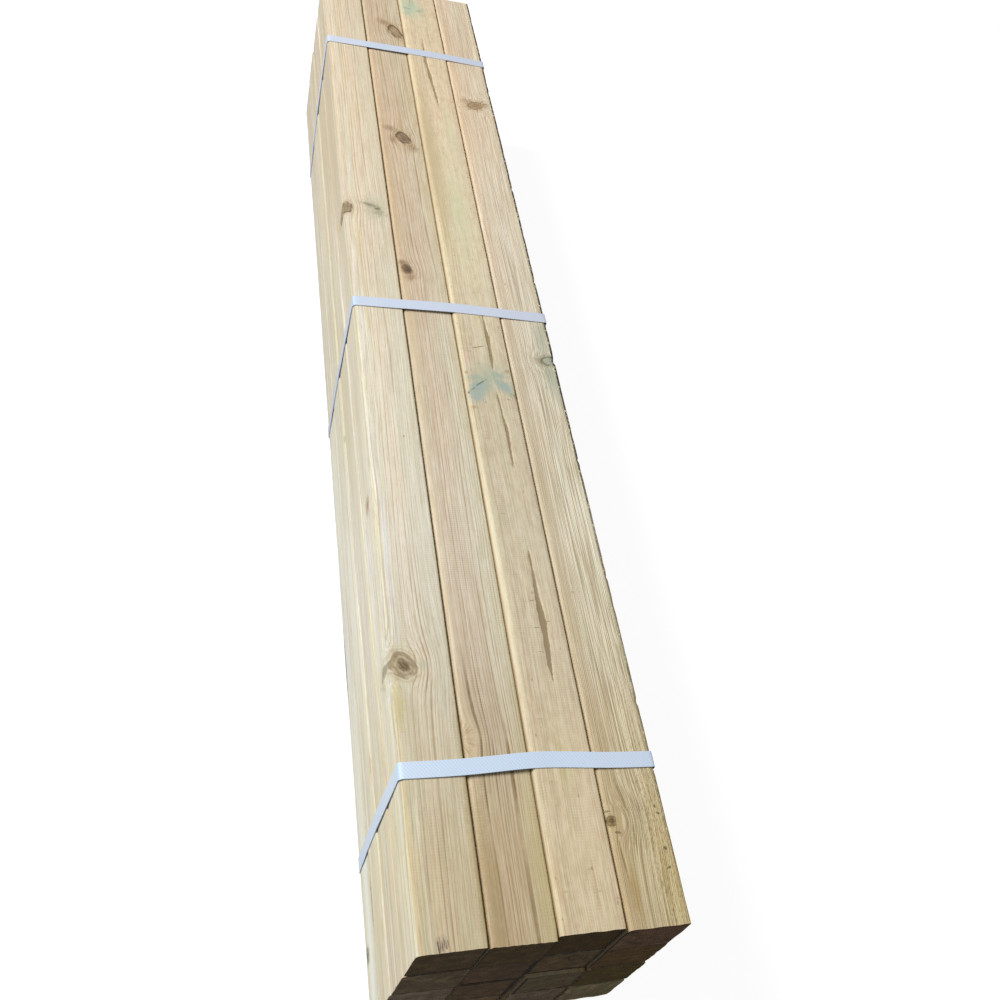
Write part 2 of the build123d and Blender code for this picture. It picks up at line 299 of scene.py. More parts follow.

# Discoloured patches, stud by stud, and among them some patches of painted shade. Each row has
# a colour, how strong it is, how ragged and how soft its rim is, and then its patches.
STAINS = {
    "stud_layer1_1": [
        # Painted shade: an olive strip along the right edge near the near end, beside the seam.
        ((182, 168, 120), 0.5, 0.5, 0.9, top(35, 120, 7, 260, 8)),
        ((208, 194, 144), 0.85, 0.5, 0.95, top(-28, 264, 12, 46, 14)),
        # Painted shade: broad darker patches over the middle and far part of the left side.
        ((198, 183, 156), 0.70, 0.3, 0.95, left(1340, 0, 560, 60, 12)),
        ((200, 186, 158), 0.50, 0.3, 0.95, left(770, 0, 300, 60, 12)),
        ((196, 170, 134), 0.7, 0.5, 0.8, top(-33, 311, 8, 5, 5, -12)),
        ((138, 138, 112), 0.45, 0.35, 0.5, top(-37, 309, 1.1, 9, 9, 8, 3)),
        ((150, 136, 112), 0.55, 0.6, 0.5, top(-33, 318, 6, 1.5, 5, 20),
         top(-32, 303, 6, 1.5, 5, -22)),
        ((188, 184, 160), 0.5, 0.5, 0.8, top(5, 313, 10, 8, 6)),
        ((186, 182, 154), 0.65, 0.5, 0.95, top(12, 1118, 25, 42, 8)),
        ((156, 154, 126), 0.7, 0.5, 0.95, top(8, 1126, 24, 9, 6, -20),
         top(20, 1110, 15, 12, 6, -40)),
        ((134, 128, 104), 0.6, 0.5, 0.9, top(6, 1127, 18, 3.6, 6, -18)),
        ((112, 102, 80), 0.75, 0.5, 0.8, top(17, 1119, 7, 4, 4, 6)),
        ((84, 72, 80), 0.85, 0.6, 0.5, top(-13.5, 6, 1.3, 9, 3, 4)),
        ((178, 162, 150), 0.6, 0.6, 0.9, top(-9, 9, 7, 12, 3)),
        ((112, 98, 98), 0.75, 0.7, 0.5, top(-11.6, 9, 0.7, 8, 3), top(-9.5, 6, 0.8, 7, 3, 2),
         top(-7.4, 10, 0.6, 6, 3, 2), top(-5.6, 7, 0.8, 5, 3, 4), top(-3.8, 9, 0.5, 4, 3, 4)),
        ((120, 104, 84), 0.6, 0.35, 0.5, top(14.5, 651, 1.6, 2.4, 3)),
        ((186, 120, 96), 0.7, 0.35, 0.5, left(857, -31, 4, 1.2, 3)),
    ],
    "stud_layer1_2": [
        ((104, 66, 50), 0.8, 0.35, 0.5, top(-36, 232, 1.2, 9, 5, 2, 4)),
        ((212, 200, 156), 0.5, 0.5, 0.9, top(28, 60, 14, 190, 8)),
        ((166, 146, 108), 0.5, 0.4, 0.95, top(-26, 40, 14, 170, 8)),
        ((194, 172, 136), 0.5, 0.3, 0.95, top(-30, 1080, 13, 560, 8)),
        ((192, 186, 152), 0.4, 0.7, 0.5, top(22, 470, 8, 18, 6)),
        ((158, 136, 106), 0.75, 0.5, 0.95, top(-16, 1342, 20, 12, 5, -30),
         top(19, 1294, 18, 12, 5, -52), top(-13, 1312, 10, 16, 5)),
        ((236, 218, 184), 0.7, 0.3, 0.8, top(-3, 1306, 13, 3.4, 4, -52)),
        ((158, 136, 106), 0.75, 0.5, 0.95, top(2, 1682, 20, 14, 5, -42)),
        ((140, 118, 90), 0.85, 0.5, 0.95, top(-27, 999, 13, 9, 5)),
        ((156, 130, 100), 0.8, 0.5, 0.95, top(-18, 968, 12, 14, 5, 20)),
    ],
    "stud_layer1_3": [
        ((192, 192, 168), 0.65, 0.5, 0.95, top(0, 772, 40, 34, 8)),
        ((170, 184, 166), 0.75, 0.50, 0.75, top(-12, 744, 37, 19, 6, 60),
         top(-17, 760, 20, 10, 6, 10), top(-19, 738, 22, 12, 6, 34),
         top(19, 748, 29, 12, 6, -54), top(16, 767, 18, 10, 6, -6)),
        ((164, 182, 182), 0.62, 0.50, 0.95, top(-24, 727, 19, 18, 6, 60),
         top(23, 745, 21, 11, 6, -54), top(-18, 742, 17, 14, 6, 40)),
        ((158, 168, 132), 0.5, 0.6, 0.9, top(31, 731, 6, 7, 5, -50)),
        ((208, 206, 184), 0.6, 0.4, 0.7, top(7, 742, 3.2, 24, 5, 3)),
        ((104, 116, 98), 0.8, 0.9, 0.7, top(-11, 752, 12, 1.6, 3, 38),
         top(-26, 738, 8, 1.2, 3, 44)),
        ((96, 96, 74), 0.8, 0.5, 0.8, top(-32.5, 731, 2.0, 3.4, 3)),
        ((166, 138, 102), 0.6, 0.6, 0.9, top(30, 776, 6, 5, 3), top(-28, 704, 6, 5, 3),
         top(-31, 770, 4, 4, 3)),
        ((108, 120, 94), 0.7, 0.8, 0.8, top(34, 728, 1.6, 5, 3, 20), top(24, 722, 4, 1.4, 3, -30)),
        ((226, 190, 178), 0.5, 0.4, 0.9, top(-27, 800, 5, 30, 5)),
        ((184, 200, 178), 0.85, 0.5, 0.95, top(-16, 1740, 34, 48, 8)),
        ((168, 188, 166), 0.5, 0.9, 0.95, top(-24, 1720, 10, 22, 6, -20),
         top(6, 1738, 12, 9, 6, 10), top(-14, 1752, 5, 24, 6)),
        ((132, 146, 118), 0.5, 0.9, 0.8, top(-14, 1764, 1.6, 20, 3), top(-8, 1760, 1.2, 18, 3),
         top(-22, 1738, 9, 4, 3, -6), top(2, 1733, 8, 4, 3, 6)),
        ((206, 208, 176), 0.5, 0.8, 0.9, top(4, 1130, 26, 150, 8), top(16, 1330, 14, 110, 8)),
        ((104, 84, 60), 0.7, 0.8, 0.5, top(-6, 822, 12, 1.0, 3, 16)),
        ((196, 184, 128), 0.4, 0.7, 0.9, top(2, 185, 11, 48, 6)),
        ((246, 234, 204), 0.5, 0.3, 0.95, top(-31, 440, 9, 330, 8)),
        ((192, 176, 140), 0.75, 0.3, 0.95, top(-25, 1260, 22, 360, 8)),
        ((150, 130, 98), 0.7, 0.7, 0.8, top(0, 354, 6, 0.9, 3, 4), top(0, 321, 6, 0.9, 3, -8),
         top(17, 362, 4.5, 0.8, 3), top(2, 392, 6, 0.8, 3, 10)),
    ],
    "stud_layer1_4": [
        ((184, 184, 162), 0.75, 0.5, 0.95, top(22, 845, 19, 60, 8), top(25, 770, 17, 62, 8)),
        ((150, 132, 104), 0.7, 0.5, 0.95, top(12, 804, 10, 16, 7, 20)),
        ((172, 170, 138), 0.5, 0.6, 0.95, top(20, 782, 12, 22, 7)),
        ((112, 104, 82), 0.8, 0.5, 0.8, top(35, 803, 3, 5, 6)),
        ((222, 204, 158), 0.45, 0.4, 0.95, top(26, 60, 14, 170, 8)),
        ((188, 168, 134), 0.45, 0.3, 0.95, top(-27, 560, 14, 560, 8)),
        ((210, 184, 146), 0.50, 0.3, 0.95, top(-26, 1420, 18, 320, 8)),
        ((150, 128, 88), 0.6, 0.4, 0.8, top(-12, 143, 2.2, 32, 5, 10),
         top(-6, 96, 1.6, 26, 5, -4)),
        ((188, 160, 112), 0.55, 0.4, 0.8, top(-19, 38, 7, 36, 5)),
        ((140, 116, 78), 0.7, 0.5, 0.5, top(-25, 74, 1.0, 26, 3, 3)),
        ((238, 224, 186), 0.7, 0.5, 0.5, top(-22.5, 76, 1.1, 26, 3, 3)),
        ((106, 92, 66), 0.6, 0.6, 0.5, top(-24, 102, 4, 1.5, 3, -10), top(-32, 126, 5, 1.3, 3)),
        ((104, 88, 62), 0.75, 0.7, 0.5, top(26, 81, 1.8, 3, 3, 20),
         top(24.5, 60, 3.4, 1.6, 3, 20), top(27, 120, 3, 1.4, 3, -20), top(25, 128, 1.4, 3, 3)),
        ((158, 134, 102), 0.6, 0.7, 0.95, top(-14, 1453, 15, 11, 5, -20),
         top(18, 1446, 13, 10, 5, 12)),
    ],
    "stud_layer2_1": [
        # Painted shade: broad darker patches over the middle and far part of the left side.
        ((202, 188, 156), 0.6, 0.3, 0.95, left(770, 0, 300, 60, 12), left(1420, 0, 360, 60, 12)),
    ],
    "stud_layer3_1": [
        ((212, 178, 132), 0.7, 0.6, 0.5, left(72, 25, 14, 6, 4), left(263, 30, 16, 5, 4)),
        ((150, 166, 126), 0.6, 0.35, 0.5, left(771, 34, 9, 3, 4)),
        ((150, 140, 112), 0.5, 0.35, 0.5, left(482, -31, 7, 4, 4)),
        ((78, 66, 52), 0.8, 0.35, 0.5, left(1608, 27, 3, 2, 3)),
        ((240, 228, 200), 0.35, 0.3, 0.95, left(90, 0, 170, 60, 12), left(490, 0, 240, 60, 12),
         left(1400, 0, 360, 60, 12)),
        ((112, 86, 58), 0.85, 0.5, 0.8, left(128, -36, 55, 8, 4)),
    ],
    "stud_layer4_1": [
        ((248, 250, 244), 0.8, 0.3, 0.95, left(60, 0, 260, 40, 9)),
        ((250, 244, 228), 0.35, 0.3, 0.95, left(290, 0, 150, 60, 12), left(750, 0, 240, 60, 12)),
        ((156, 148, 128), 0.6, 0.7, 0.5, left(467, -29, 30, 4, 4)),
        # Painted shade: a dark strip along the lower edge of the left side, where the lower arris
        # lies in shade.
        ((84, 84, 78), 0.9, 0.4, 0.7, left(465, -37, 90, 13, 5)),
        ((180, 160, 120), 0.5, 0.35, 0.5, left(1010, 26, 8, 4, 4)),
    ],
}

# How the wood's tone runs from the near end to the far one, on the top and on the left side.
# It is partly the wood's own colour and partly painted shade: darker at the near end, and on
# the left side darker towards the far end.
TONE = tones((0.89, 0.85, 0.74), (0.945, 0.96, 0.965), (1.0, 1.04, 1.10), (0.95, 0.98, 1.01),
             (0.905, 0.88, 0.875), (0.90, 0.86, 0.83))
SIDE_TONE = tones((0.95, 0.96, 0.92), (0.94, 0.99, 1.03), (0.94, 1.00, 1.10), (0.85, 0.88, 0.92),
                  (0.77, 0.77, 0.77), (0.76, 0.75, 0.735))

# What each run of studs needs: cells across, cells up, and two rounds of cuts along
FINENESS = {"top": (34, 16, 20, 20), "side": (8, 24, 19, 19), "base": (24, 8, 13, 13),
            "core": (20, 20, 6, 1)}


def paint(red, green, blue):
    """A colour given as it looks on a screen, from 0 to 255, made linear for the shader."""
    linear = [
        part / 12.92 if part <= 0.04045 else ((part + 0.055) / 1.055) ** 2.4
        for part in (red / 255, green / 255, blue / 255)
    ]
    return (*linear, 1.0)


class Value:
    """A number that varies over a surface. Python's operators on it add Math nodes."""

    def __init__(self, finish, socket):
        self.finish = finish
        self.socket = socket

    def output(self, name):
        """Another output of the node that this value comes from."""
        return Value(self.finish, self.socket.node.outputs[name])

    def __add__(self, other):
        return self.finish.maths("ADD", self, other)

    def __sub__(self, other):
        return self.finish.maths("SUBTRACT", self, other)

    def __rsub__(self, other):
        return self.finish.maths("SUBTRACT", other, self)

    def __mul__(self, other):
        return self.finish.maths("MULTIPLY", self, other)

    def __truediv__(self, other):
        return self.finish.maths("DIVIDE", self, other)

    __radd__ = __add__
    __rmul__ = __mul__


class Finish:
    """A material that is being made up, node by node."""

    def __init__(self, name):
        self.material = bpy.data.materials.new(name)
        self.material.use_nodes = True
        self.tree = self.material.node_tree
        self.surface = self.tree.nodes["Principled BSDF"]
        self.place = self.node("ShaderNodeTexCoord", output="Object")

    def node(self, kind, settings=None, sockets=None, output=0):
        """Adds a node: its settings first, then the values or links of its sockets."""
        node = self.tree.nodes.new(kind)
        for name, value in (settings or {}).items():
            if name == "stops":
                self.set_stops(node.color_ramp, value)
            else:
                setattr(node, name, value)
        for name, value in (sockets or {}).items():
            self.join(value, node.inputs[name])
        return Value(self, node.outputs[output])

    def join(self, value, socket):
        """Links a value to a socket, or sets the socket to a plain number or colour."""
        if isinstance(value, Value):
            self.tree.links.new(value.socket, socket)
        else:
            socket.default_value = value

    def set_stops(self, ramp, stops):
        """Gives a colour ramp its stops, each a position and a colour."""
        while len(ramp.elements) < len(stops):
            ramp.elements.new(0.5)
        for element, (position, colour) in zip(ramp.elements, stops):
            element.position = position
            element.color = (*colour, 1.0)

    def feed(self, socket, value):
        self.join(value, self.surface.inputs[socket])

    def maths(self, operation, *numbers):
        return self.node("ShaderNodeMath", {"operation": operation}, dict(enumerate(numbers)))

    def vector(self, operation, *vectors, **numbers):
        sockets = {**dict(enumerate(vectors)), **numbers}
        output = "Value" if operation == "LENGTH" else "Vector"
        return self.node("ShaderNodeVectorMath", {"operation": operation}, sockets, output)

    def parts(self, point):
        """The three numbers of a point."""
        first = self.node("ShaderNodeSeparateXYZ", sockets={"Vector": point}, output="X")
        return first, first.output("Y"), first.output("Z")

    def make_point(self, x, y, z):
        return self.node("ShaderNodeCombineXYZ", sockets={"X": x, "Y": y, "Z": z})

    def inside(self, point, centre, sizes=(1, 1, 1), turn=(0, 0, 0)):
        """The point as a box of that centre, half size and turn reads it."""
        return self.node(
            "ShaderNodeMapping",
            {"vector_type": "TEXTURE"},
            {"Vector": point, "Location": centre, "Rotation": turn, "Scale": sizes},
        )

    def ease(self, value, low, high):
        """0 at low and 1 at high, with a smooth step between. Low may be the larger one."""
        return self.node(
            "ShaderNodeMapRange",
            {"interpolation_type": "SMOOTHSTEP"},
            {"Value": value, "From Min": low, "From Max": high},
        )

    def bell(self, value, middle, width):
        """1 at the middle, and falling away to both sides of it."""
        offset = (value - middle) / width
        return self.maths("EXPONENT", offset * offset * -1.0)

    def cloud(self, point, sizes, detail=2.0, output="Fac"):
        """Smooth noise about 0.5, in lumps of those sizes."""
        scaled = self.vector("MULTIPLY", point, tuple(1 / size for size in sizes))
        return self.node(
            "ShaderNodeTexNoise",
            sockets={"Vector": scaled, "Scale": 1.0, "Detail": detail},
            output=output,
        )

    def chance(self, value):
        """A number between 0 and 1 that is another one for every whole number."""
        return self.node(
            "ShaderNodeTexWhiteNoise", {"noise_dimensions": "1D"}, {"W": value}, "Value"
        )

    def marks(self, point, spacing, share, size):
        """Scattered marks: 1 on a mark. Only that share of the places has one."""
        scaled = self.vector("MULTIPLY", point, tuple(1 / part for part in spacing))
        distance = self.node("ShaderNodeTexVoronoi", sockets={"Vector": scaled, "Scale": 1.0})
        chosen = self.ease(self.parts(distance.output("Color"))[0], 1 - share, 1.02 - share)
        return self.ease(distance, size, size * 0.5) * chosen

    def follow(self, value, table):
        """A number read from a table of steadily joined points."""
        first, last = table[0][0], table[-1][0]
        low, high = min(y for _, y in table), max(y for _, y in table)
        stops = [
            ((x - first) / (last - first), ((y - low) / (high - low),) * 3) for x, y in table
        ]
        share = self.node("ShaderNodeValToRGB", {"stops": stops},
                          {"Fac": (value - first) / (last - first)})
        return share * (high - low) + low

    def blend(self, amount, first, second):
        """A colour between two colours."""
        mixed = self.node("ShaderNodeMix", {"data_type": "RGBA"}, output=2)
        node = mixed.socket.node
        self.join(amount, node.inputs[0])
        self.join(first, node.inputs[6])
        self.join(second, node.inputs[7])
        return mixed

    def factor(self, colour, amount, other):
        """A colour multiplied by another one, as far as that amount."""
        return self.vector("MULTIPLY", colour, self.blend(amount, WHITE, other))

    def wander(self, point, drift, most):
        """The point, moved by a drift of three numbers about 0.5, each up to half of most."""
        away = self.vector("SUBTRACT", drift, (0.5, 0.5, 0.5))
        return self.vector("ADD", point, self.vector("SCALE", away, Scale=most))

    def read_facing(self):
        """Which way the surface faces, as three numbers."""
        return self.parts(self.node("ShaderNodeTexCoord", output="Normal"))

    def bump(self, height, depth):
        """Raises the surface by that many millimetres where the height is 1."""
        normal = self.node(
            "ShaderNodeBump", sockets={"Height": height, "Distance": depth * MM, "Strength": 1.0}
        )
        self.feed("Normal", normal)


def layer_and_column(name):
    """Where a stud lies, counted from the top and from the left: 2 and 3 in stud_layer2_3."""
    return int(name[10]), int(name[12])


def branch_turn(knot, pith):
    """How a branch lies: its side, the grain and its own direction, as a turn."""
    across, _, height = knot.place
    on_side = abs(across) > 35 and abs(height) < 30
    face = Vector((math.copysign(on_side, across), 0, math.copysign(not on_side, height)))
    out = Vector((across - pith[0], 0, height - pith[1])).normalized()
    out = (out + face * 1.2).normalized()
    grain = (Vector((0, 1, 0)) - out * out.y).normalized()
    side = grain.cross(out)
    return side, Matrix((side, grain, out)).transposed().to_euler()


class Pine(Finish):
    """The wood of one stud, with everything that its timber says it carries."""

    def __init__(self, name, timber, low, high):
        super().__init__(f"pine_{name}")
        self.timber = timber
        self.layer, self.column = layer_and_column(name)
        self.seed = random.Random(name).uniform(50, 900)
        centre = (low + high) / 2
        self.half = (high - low) / MM / 2
        self.point = self.inside(self.place, (centre.x, low.y, centre.z), (MM, MM, MM))
        self.across, self.along, self.height = self.parts(self.point)
        self.facing = self.read_facing()
        self.loose = self.vector("ADD", self.point, (self.seed, self.seed * 3, self.seed * 7))
        self.patches = self.cloud(self.loose, (34, 160, 34), 1.0)
        self.grit = self.cloud(self.loose, (3.2, 5.0, 3.2), 2.0)
        self.bend_grain()
        self.draw_rings()
        if self.column == 1:
            self.draw_tints()
        self.draw_fibres()
        self.draw_flecks()
        for stain in STAINS.get(name, ()):
            self.draw_stain(*stain)
        self.draw_pith()
        for branch in self.branches:
            self.draw_knot(*branch)
        self.tone_down()
        self.draw_ends()
        self.feed("Base Color", self.colour)
        self.feed("Roughness", 0.58 + self.fibres * 0.2 + self.on_end * 0.2)
        self.feed("Specular IOR Level", 0.12)
        self.bump(self.relief, 0.10 + 0.28 * timber.rough)

    def cover(self, amount, colour):
        """Lays a colour over the wood, as thickly as that amount."""
        self.colour = self.blend(amount, self.colour, paint(*colour))

    def wash(self, reading, low, high, most, colour):
        """Lays a colour on where a reading has passed from low to high."""
        self.cover(self.ease(reading, low, high) * most, colour)

    def rays(self, across, along, reach, count):
        """Noise in rays about an axis, given a point beside it and how far out they wander."""
        bearing = self.maths("ARCTAN2", along, across)
        return self.cloud(self.make_point(bearing * count, reach, self.seed), (1, 1, 1), 1.0)

    def bend_grain(self):
        """The grain wanders, and is pushed aside by the branches."""
        self.grain = self.point
        for lumps, most in (((90, 420, 90), 9.0), ((30, 130, 30), 1.7)):
            drift = self.cloud(self.loose, lumps, 0.0, "Color")
            self.grain = self.wander(self.grain, drift, most)
        self.branches = []
        self.by_knot = 0.0
        self.quiet = 0.0
        for knot in self.timber.knots:
            side_axis, turn = branch_turn(knot, self.timber.pith)
            sizes = (knot.radius, knot.radius * knot.stretch, knot.depth)
            reading = self.inside(self.point, knot.place, sizes, turn)
            distance = self.vector("LENGTH", reading)
            side = self.parts(reading)[0]
            reach = knot.grip**2
            beyond = self.maths("MAXIMUM", distance * distance, reach)
            push = side * (-knot.radius * reach) / beyond
            shift = self.vector("SCALE", tuple(side_axis), Scale=push)
            self.grain = self.vector("ADD", self.grain, shift)
            self.branches.append((knot, reading, distance))
            near = self.ease(distance, knot.grip * 2.4, knot.grip)
            self.by_knot = self.maths("MAXIMUM", self.by_knot, near)
            if knot.buried:
                self.quiet = self.ease(distance, 1.9, 1.0)
                self.by_knot = self.ease(distance, 5.0, 2.5) * 1.8

    def draw_rings(self):
        """Heartwood, sapwood and coloured bands, and the dark line that ends each ring."""
        timber = self.timber
        turn = (math.radians(timber.drift[1]), 0, math.radians(timber.drift[0]))
        about_pith = self.inside(self.grain, (timber.pith[0], 900, timber.pith[1]), turn=turn)
        self.about_pith = self.parts(about_pith)
        flat = self.vector("MULTIPLY", about_pith, (1, 0, 1))
        self.radius = self.vector("LENGTH", flat)
        spell = self.make_point(self.radius / 11.0, self.along / 1400.0, self.seed)
        turns = self.radius / timber.ring + self.cloud(spell, (1, 1, 1), 2.0) * 4.0
        part = self.maths("FRACT", turns)
        own = self.chance(self.maths("FLOOR", turns) + self.seed)
        rise = self.ease(part, 0.20, 0.85) * 0.35 + self.ease(part, 0.62, 0.82) * 0.65
        self.late = rise * self.ease(part, 0.99, 0.87) * (own * 0.55 + 0.50)
        heart = self.ease(self.radius + (self.patches - 0.5) * 20.0,
                          timber.heart - 7, timber.heart + 7)
        self.colour = self.blend(heart, paint(*timber.heartwood), paint(*timber.sapwood))
        streaks = self.cloud(self.grain, (7, 420, 7), 2.0)
        self.wash(streaks, 0.50, 0.72, 0.40, (232, 206, 176))
        self.wash(streaks, 0.50, 0.30, 0.35, (200, 192, 160))
        spell = self.make_point(self.along / 260.0, self.seed, 0.0)
        lives = self.parts(self.cloud(spell, (1, 1, 1), 0.0, "Color"))
        for number, (where, width, colour, strength) in enumerate(timber.bands):
            band_radius = math.hypot(where - timber.pith[0], TOP - timber.pith[1])
            spread = abs(where - timber.pith[0]) / band_radius
            life = self.ease(lives[number % 3], 0.30, 0.55)
            amount = self.bell(self.radius, band_radius, width * max(spread, 0.35))
            self.cover(amount * life * strength, colour)
        broken = self.ease(self.cloud(self.grain, (5, 90, 5), 1.0), 0.30, 0.60) * 0.65 + 0.35
        strength = self.late * broken * (self.by_knot * 0.5 + 1.0) * timber.line
        strength = strength * (1.0 - self.quiet * 0.85)
        if timber.lines_across:
            strength = strength * self.follow(self.across, timber.lines_across)
        self.cover(strength, timber.line_colour)

    def draw_tints(self):
        """Pale yellow, pink, white and green streaks on the weathered side of the bundle."""
        broad = self.parts(self.cloud(self.loose, (26, 620, 9), 1.0, "Color"))
        on_side = self.ease(self.across, -32, -35)
        self.wash(broad[0], 0.51, 0.59, on_side * 0.75, (253, 250, 240))
        self.wash(broad[1], 0.51, 0.59, on_side * 0.70, (200, 187, 166))
        self.wash(broad[2], 0.53, 0.61, on_side * 0.65, (228, 218, 170))
        here = self.ease(self.across, -10, -24) * 0.60
        slender = self.parts(self.cloud(self.grain, (2.8, 560, 2.8), 1.0, "Color"))
        tints = ((234, 224, 174), (214, 194, 194), (242, 240, 228))
        for reading, tint in zip(slender, tints):
            self.wash(reading, 0.53, 0.62, here, tint)
        self.wash(slender[0], 0.45, 0.38, here, (208, 212, 188))
        self.wash(slender[1], 0.40, 0.34, here, (182, 170, 150))

    def draw_fibres(self):
        """The fine grain between the rings, and the rough fibres of a badly sawn face."""
        self.fibres = self.cloud(self.grain, (1.0, 70, 1.0), 2.0)
        self.wash(self.fibres, 0.48, 0.68, 0.42, (184, 162, 126))
        self.wash(self.fibres, 0.48, 0.30, 0.42, (242, 234, 214))
        pores = self.cloud(self.grain, (0.9, 7, 0.9), 1.0)
        self.wash(pores, 0.54, 0.74, 0.25, (176, 154, 120))
        self.wash(self.patches, 0.55, 0.75, 0.22, (196, 190, 156))
        lumps = self.cloud(self.loose, (6, 15, 6), 2.0)
        self.wash(lumps, 0.50, 0.68, self.timber.mottle, (192, 170, 138))
        self.wash(lumps, 0.50, 0.34, self.timber.mottle, (230, 218, 192))
        if self.layer == 1:
            planed = self.maths("SINE", self.along * 1.9 + self.patches * 9.0)
            seen = self.ease(planed, 0.1, 1.0) * self.ease(self.patches, 0.46, 0.58)
            self.cover(seen * 0.14, (240, 234, 220))
        self.relief = self.fibres * 0.6 - self.late * 0.5
        if self.timber.rough > 0.5:
            ridge = self.cloud(self.grain, (1.15, 130, 1.15), 1.0)
            plain = self.ease(self.across, -20, -4) * 0.75 + 0.25
            plain = plain * (1.0 - self.ease(self.along, 500, 1300) * 0.55)
            self.wash(ridge, 0.50, 0.62, plain * 0.55, (160, 138, 96))
            self.wash(ridge, 0.49, 0.38, plain * 0.65, (244, 234, 208))
            torn = self.cloud(self.loose, (1.5, 4.5, 1.5), 2.0)
            here = self.ease(self.across, -8, 22) * self.ease(self.along, 420, 60)
            self.wash(torn, 0.54, 0.68, here * 0.6, (140, 116, 76))
            self.wash(torn, 0.46, 0.34, here * 0.6, (242, 228, 184))
            self.relief = self.relief + ridge * 1.4 + torn * (here * 1.2 + 0.3)

    def draw_flecks(self):
        """Small dark and pink flecks, and cracks that run across the grain."""
        timber = self.timber
        if timber.flecks:
            short = self.marks(self.loose, (7, 15, 30), timber.flecks * 0.4, 0.20)
            self.cover(short * 0.5, (146, 122, 92))
            pink = self.vector("ADD", self.loose, (77, 0, 0))
            self.cover(self.marks(pink, (9, 9, 30), 0.25, 0.22) * 0.4, (220, 178, 158))
        if timber.ticks:
            other = self.vector("ADD", self.loose, (0, 55, 0))
            ticks = self.marks(other, (26, 6.5, 40), 0.30, 0.24)
            self.cover(ticks * self.ease(self.grit, 0.42, 0.55) * timber.ticks, (158, 134, 98))

    def draw_stain(self, colour, strength, ragged, soft, *patches):
        shape = None
        for centre, sizes, degrees in patches:
            turn = (0, 0, math.radians(degrees))
            reach = self.vector("LENGTH", self.inside(self.point, centre, sizes, turn))
            shape = reach if shape is None else self.maths("MINIMUM", shape, reach)
        edge = shape + (self.grit - 0.5) * (ragged * 2.0)
        self.wash(edge, 1.08, 1.0 - soft, strength, colour)

    def draw_pith(self):
        """The pith, where it lies open in the face."""
        upper = self.ease(self.height, TOP - 8, TOP - 5)
        jag = (self.grit - 0.5) * 2.4
        for table in self.timber.streaks:
            centre = self.follow(self.along, [(row[0], row[1]) for row in table])
            width = self.follow(self.along, [(row[0], row[2]) for row in table])
            offset = self.maths("ABSOLUTE", self.across - centre)
            within = self.ease(offset + jag - width, 0.4, -0.4)
            whole = within * upper * self.ease(width, 0.1, 0.5)
            self.cover(whole * 0.95, (160, 141, 110))
            self.cover(whole * self.ease(self.fibres, 0.45, 0.65) * 0.5, (142, 122, 92))

    def draw_swirl(self, reading, distance):
        """Pale and dark rays over a branch that ends just below the face."""
        side, grainwise, _ = self.parts(reading)
        rays = self.rays(side, grainwise, distance * 0.4, 9.0)
        self.wash(distance, 1.6, 0.5, 0.35, (198, 172, 132))
        for low, high, most, colour in ((0.50, 0.60, 0.42, (228, 210, 178)),
                                        (0.48, 0.38, 0.35, (150, 122, 88))):
            self.wash(rays, low, high, self.bell(distance, 0.80, 0.40) * most, colour)

    def draw_knot(self, knot, reading, distance):
        """The cut end of a branch: its heart, its rings, and the bark line round it."""
        if knot.buried:
            self.draw_swirl(reading, distance)
            return
        degrees, longer = knot.slant
        sizes = (longer**0.5, longer**-0.5, 1)
        reading = self.inside(reading, (0, 0, 0), sizes, (0, 0, math.radians(degrees)))
        lumps = self.cloud(reading, (0.75, 0.75, 3.0), 2.0, "Color")
        reading = self.wander(reading, lumps, 0.62)
        distance = self.vector("LENGTH", reading)
        self.wash(distance, 2.1, 0.9, 0.5, knot.halo)
        if knot.fan:
            side, grainwise, _ = self.parts(reading)
            rays = self.rays(side, grainwise, distance * 0.5, 5.0)
            fan = self.ease(rays, 0.50, 0.64) * self.ease(distance, 2.4, 1.1)
            self.cover(fan * knot.fan, knot.rim)
        self.wash(distance, 1.14, 0.80, 0.85, knot.wood)
        ring = self.maths("FRACT", distance * 3.4)
        line = self.ease(ring, 0.25, 0.75) * self.ease(ring, 1.0, 0.80)
        self.cover(line * self.ease(distance, 1.6, 1.15) * 0.40, knot.rim)
        heart = self.ease(distance, knot.heart + 0.12, knot.heart - 0.34)
        self.cover(heart * 0.85, knot.core)
        streak = self.cloud(reading, (1.1, 0.20, 3.0), 1.0)
        inner = self.ease(distance, 1.05, 0.75)
        self.wash(streak, 0.50, 0.62, inner * 0.45, knot.rim)
        self.wash(streak, 0.48, 0.36, inner * 0.30, knot.halo)
        uneven = self.ease(self.parts(lumps)[2], 0.38, 0.58)
        self.cover(self.bell(distance, 0.98, 0.15) * (uneven * knot.edge), knot.rim)

